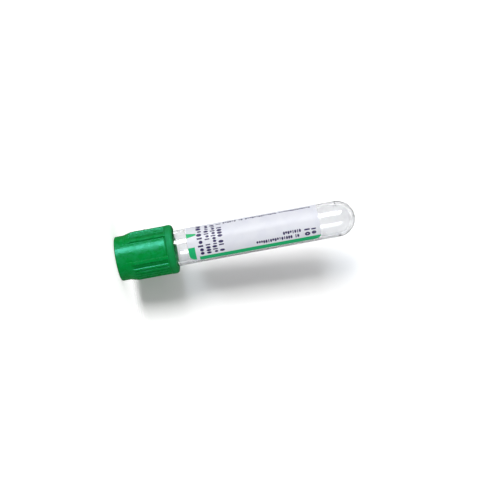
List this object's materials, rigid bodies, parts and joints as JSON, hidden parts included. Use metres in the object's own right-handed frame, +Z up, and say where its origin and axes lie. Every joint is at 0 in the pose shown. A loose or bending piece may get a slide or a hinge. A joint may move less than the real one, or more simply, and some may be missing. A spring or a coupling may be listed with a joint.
{
  "type": "blood collection tube",
  "caption": "Clear round-bottomed blood collection tube standing on the flat top of its ribbed green shield, with a film label and a rubber stopper held in the shield, which pulls off the mouth.",
  "frame": {"origin": "centre of the flat ring on the shield's top, on the surface that it stands on", "axes": "+Z up the tube's axis from the shield to the round end, -Y to the front, +X to the side where the label's clear window is"},
  "size_m": [0.0174, 0.0174, 0.0848],
  "materials": {
    "clear_plastic": "gloss",
    "label_film": "satin",
    "stopper_rubber": "satin",
    "shield_plastic": "satin"
  },
  "bodies": {
    "closure": {"shield": "shield_plastic", "stopper": "stopper_rubber"},
    "tube": {"tube": "clear_plastic", "label": "label_film"}
  },
  "joints": [
    {"name": "closure_pull", "type": "slide", "parent": "closure", "child": "tube", "axis": [0, 0, 1], "range_m": [0, 0.03]}
  ]
}
